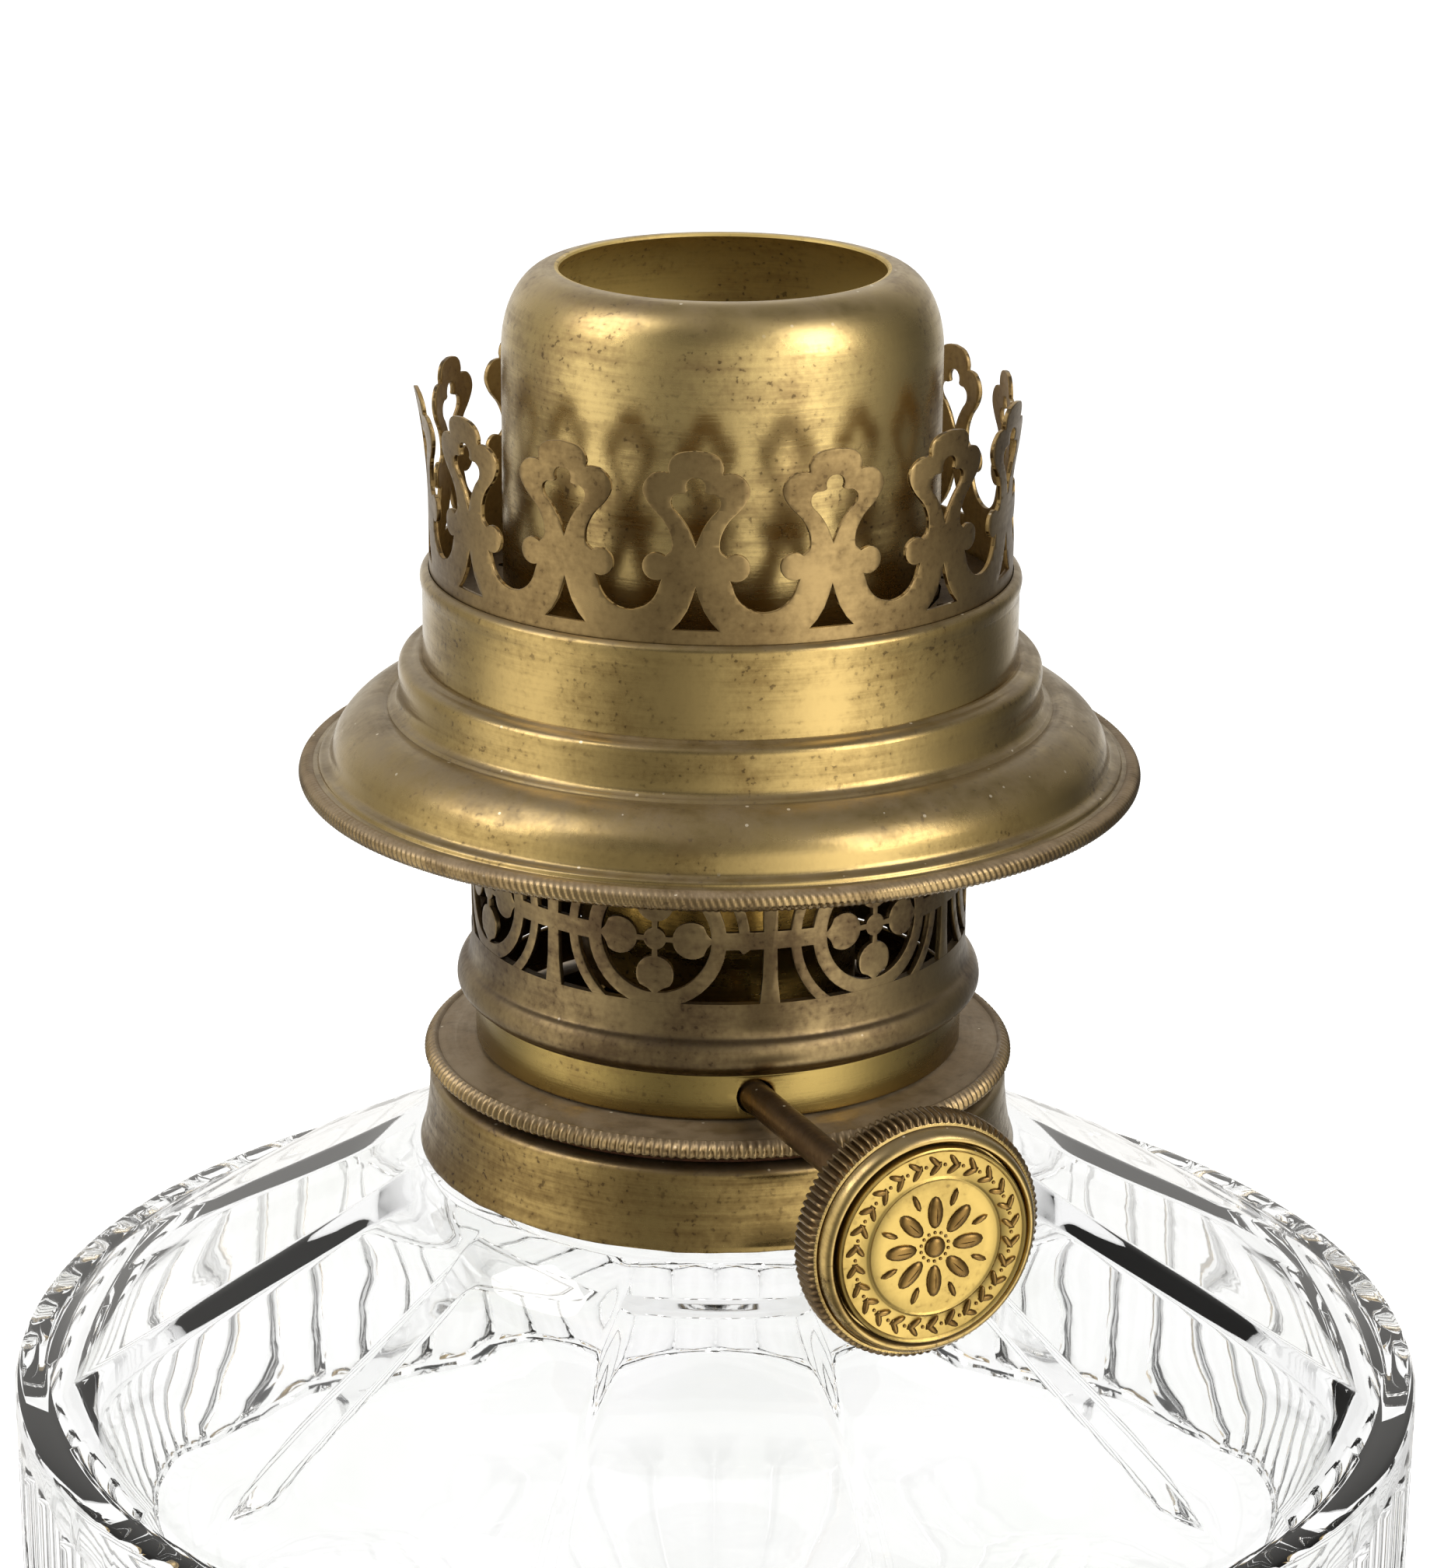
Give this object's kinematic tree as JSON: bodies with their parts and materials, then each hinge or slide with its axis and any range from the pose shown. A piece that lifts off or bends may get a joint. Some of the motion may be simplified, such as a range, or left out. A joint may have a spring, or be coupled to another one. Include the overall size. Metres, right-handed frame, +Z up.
{
  "type": "kerosene lamp",
  "caption": "Kerosene table lamp with a pierced brass round wick burner, crown gallery and dome on a fluted clear glass font and a turned brass foot",
  "frame": {"origin": "on the table, at the middle of the foot, under the lamp's axis", "axes": "+Z up along the lamp's axis, -Y towards the front of the lamp, +X to the viewer's right"},
  "size_m": [0.162, 0.162, 0.2925],
  "materials": {
    "aged_brass": "old satin brass with brown patina",
    "dark_brass": "darkened satin brass",
    "bright_brass": "worn satin brass",
    "steel": "dull steel",
    "iron": "raw casting",
    "clear_glass": "pressed clear glass",
    "cotton": "woven cotton",
    "plaster": "set plaster",
    "felt": "green felt",
    "washer_leather": "pressed leather"
  },
  "bodies": {
    "stand": {"foot_felt": "felt", "foot": "aged_brass", "foot_weight": "iron", "rod_washer": "steel", "rod_nut": "steel", "stem_rod": "steel", "stem_lower": "aged_brass", "stem_knop": "aged_brass", "stem_upper": "aged_brass", "font_cup": "aged_brass", "cup_nut": "steel", "cup_plaster": "plaster", "glass_font": "clear_glass", "collar_plaster": "plaster", "font_collar": "dark_brass"},
    "washer": {"collar_washer": "washer_leather"},
    "burner": {"burner_base": "dark_brass", "air_basket": "dark_brass", "base_plate": "dark_brass", "burner_band": "bright_brass", "wick_tube": "bright_brass", "draft_tube": "bright_brass", "wick_guide": "dark_brass", "spindle_bracket": "dark_brass"},
    "wick": {"wick": "cotton"},
    "spindle": {"spindle_rod": "steel", "spur_wheel_1": "bright_brass", "spur_wheel_2": "bright_brass", "spur_wheel_3": "bright_brass", "spur_wheel_4": "bright_brass", "spindle_stop": "dark_brass", "knob_disc": "dark_brass", "knob_medallion": "bright_brass"},
    "gallery": {"gallery_sleeve": "dark_brass", "shade_flange": "aged_brass", "chimney_seat": "dark_brass", "dome": "aged_brass", "crown": "aged_brass"}
  },
  "joints": [
    {"name": "burner_lift", "type": "slide", "parent": "stand", "child": "washer", "axis": [0, 0, 1], "range_m": [0, 0.006]},
    {"name": "burner_turn", "type": "hinge", "parent": "washer", "child": "burner", "pos_m": [0, 0, 0.2], "axis": [0, 0, 1], "range_deg": [0, 1080]},
    {"name": "spindle_turn", "type": "hinge", "parent": "burner", "child": "spindle", "pos_m": [-0.00683, -0.00311, 0.2071], "axis": [0.4147, -0.91, 0], "range_deg": [-74, 124]},
    {"name": "wick_slide", "type": "slide", "parent": "burner", "child": "wick", "axis": [0, 0, 1], "range_m": [-0.006, 0.01]},
    {"name": "gallery_slide", "type": "slide", "parent": "burner", "child": "gallery", "axis": [0, 0, 1], "range_m": [0, 0.06]}
  ],
  "couplings": [
    {"joint": "burner_lift", "follows": "burner_turn", "m_per_rad": 0.0003183},
    {"joint": "wick_slide", "follows": "spindle_turn", "m_per_rad": 0.0046}
  ]
}
